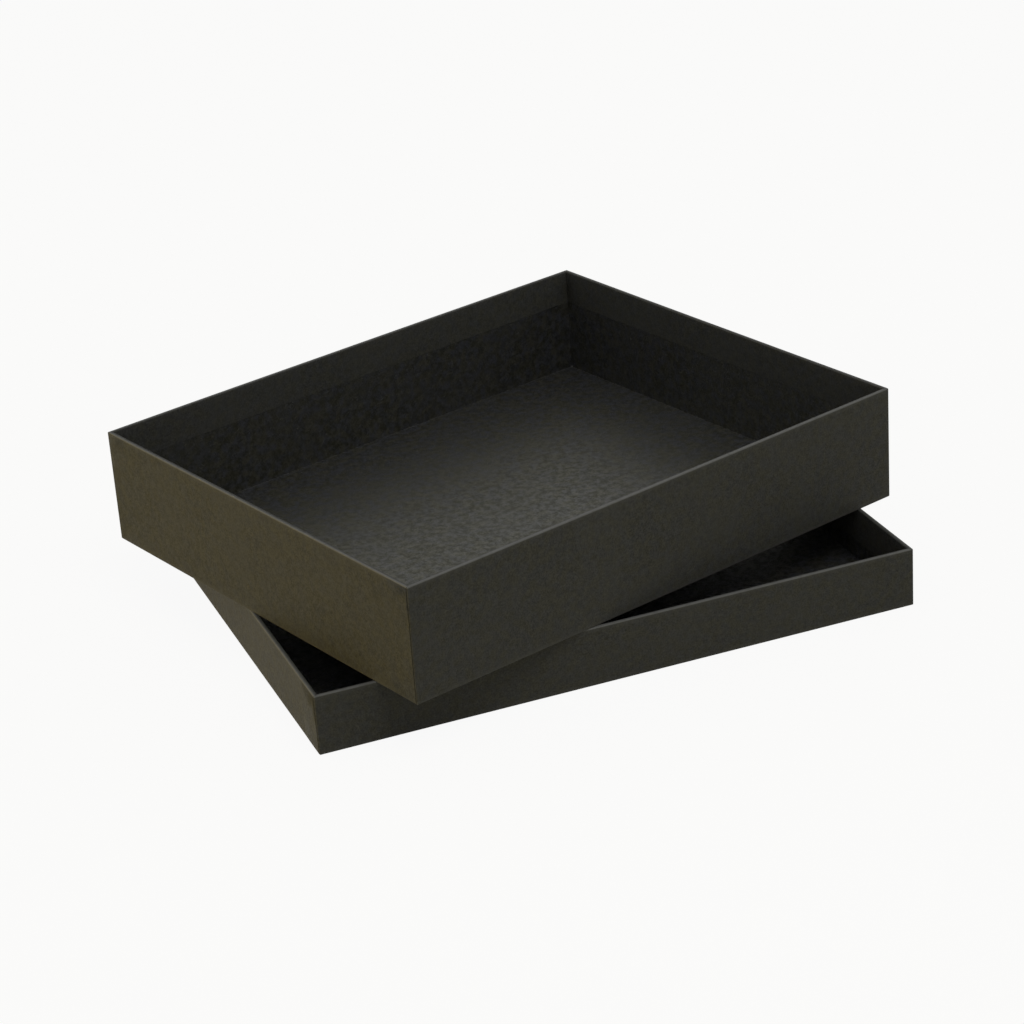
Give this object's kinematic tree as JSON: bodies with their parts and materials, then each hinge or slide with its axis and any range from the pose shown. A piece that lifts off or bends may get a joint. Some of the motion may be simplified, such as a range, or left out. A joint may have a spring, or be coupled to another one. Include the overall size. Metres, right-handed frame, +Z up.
{
  "type": "stack of cardboard trays",
  "caption": "Rigid cardboard box wrapped in black paper, opened into a stack of trays: the deep tray stands slightly turned on its own upturned shallow lid.",
  "frame": {"origin": "middle of the upturned lid's underside, on the surface it lies on", "axes": "+X along the lid's long side, +Y along its short side, +Z up out of both trays"},
  "size_m": [0.3654, 0.3302, 0.091],
  "materials": {
    "board": "matte",
    "wrap_paper": "satin",
    "stay_paper": "matte"
  },
  "bodies": {
    "root": {"tray_board": "board", "tray_wrap": "wrap_paper", "tray_stay_front_left": "stay_paper", "tray_stay_front_right": "stay_paper", "tray_stay_back_left": "stay_paper", "tray_stay_back_right": "stay_paper", "lid_board": "board", "lid_wrap": "wrap_paper", "lid_stay_front_left": "stay_paper", "lid_stay_front_right": "stay_paper", "lid_stay_back_left": "stay_paper", "lid_stay_back_right": "stay_paper"}
  },
  "joints": []
}
